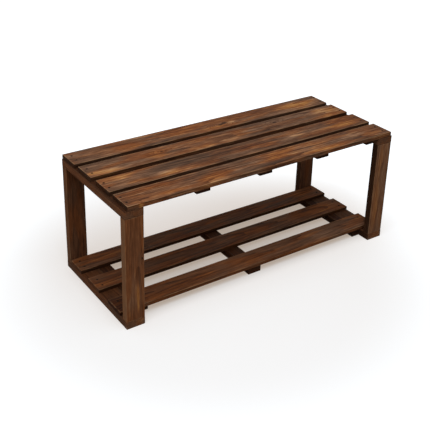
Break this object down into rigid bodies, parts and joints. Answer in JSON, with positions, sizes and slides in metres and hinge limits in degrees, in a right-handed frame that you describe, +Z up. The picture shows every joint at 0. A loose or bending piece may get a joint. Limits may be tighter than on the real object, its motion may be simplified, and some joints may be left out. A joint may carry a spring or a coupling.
{
  "type": "slatted wooden bench",
  "caption": "Low dark-stained wooden bench with a slatted seat on two board end frames and a slatted shelf just above the floor.",
  "frame": {"origin": "on the floor, under the middle of the bench's box", "axes": "+X along the length to the right as seen from the front, +Y to the rear, +Z up"},
  "size_m": [1, 0.396, 0.396],
  "materials": {
    "seat_wood": "satin walnut stain, worn lighter along the edges",
    "frame_wood": "satin walnut stain",
    "shelf_wood": "satin walnut stain",
    "batten_wood": "thin dark stain",
    "screw_steel": "dark burnished steel"
  },
  "bodies": {
    "root": {"bottom_rail_left": "frame_wood", "bottom_rail_left_screw_front": "screw_steel", "bottom_rail_left_screw_rear": "screw_steel", "bottom_rail_right": "frame_wood", "bottom_rail_right_screw_front": "screw_steel", "bottom_rail_right_screw_rear": "screw_steel", "leg_front_left": "frame_wood", "leg_front_right": "frame_wood", "leg_rear_left": "frame_wood", "leg_rear_right": "frame_wood", "seat_batten_1": "batten_wood", "seat_batten_2": "batten_wood", "seat_batten_3": "batten_wood", "seat_side_batten_left": "batten_wood", "seat_side_batten_right": "batten_wood", "seat_slat_1": "seat_wood", "seat_slat_1_screw_left_front": "screw_steel", "seat_slat_1_screw_left_rear": "screw_steel", "seat_slat_1_screw_right_front": "screw_steel", "seat_slat_1_screw_right_rear": "screw_steel", "seat_slat_2": "seat_wood", "seat_slat_2_screw_left_front": "screw_steel", "seat_slat_2_screw_left_rear": "screw_steel", "seat_slat_2_screw_right_front": "screw_steel", "seat_slat_2_screw_right_rear": "screw_steel", "seat_slat_3": "seat_wood", "seat_slat_3_screw_left_front": "screw_steel", "seat_slat_3_screw_left_rear": "screw_steel", "seat_slat_3_screw_right_front": "screw_steel", "seat_slat_3_screw_right_rear": "screw_steel", "seat_slat_4": "seat_wood", "seat_slat_4_screw_left_front": "screw_steel", "seat_slat_4_screw_left_rear": "screw_steel", "seat_slat_4_screw_right_front": "screw_steel", "seat_slat_4_screw_right_rear": "screw_steel", "shelf_batten_middle": "batten_wood", "shelf_side_batten_left": "batten_wood", "shelf_side_batten_right": "batten_wood", "shelf_slat_1": "shelf_wood", "shelf_slat_1_screw_left_front": "screw_steel", "shelf_slat_1_screw_left_rear": "screw_steel", "shelf_slat_1_screw_right_front": "screw_steel", "shelf_slat_1_screw_right_rear": "screw_steel", "shelf_slat_2": "shelf_wood", "shelf_slat_2_screw_left_front": "screw_steel", "shelf_slat_2_screw_left_rear": "screw_steel", "shelf_slat_2_screw_right_front": "screw_steel", "shelf_slat_2_screw_right_rear": "screw_steel", "shelf_slat_3": "shelf_wood", "shelf_slat_3_screw_left_front": "screw_steel", "shelf_slat_3_screw_left_rear": "screw_steel", "shelf_slat_3_screw_right_front": "screw_steel", "shelf_slat_3_screw_right_rear": "screw_steel", "top_rail_left": "frame_wood", "top_rail_left_screw_front": "screw_steel", "top_rail_left_screw_rear": "screw_steel", "top_rail_right": "frame_wood", "top_rail_right_screw_front": "screw_steel", "top_rail_right_screw_rear": "screw_steel"}
  },
  "joints": []
}
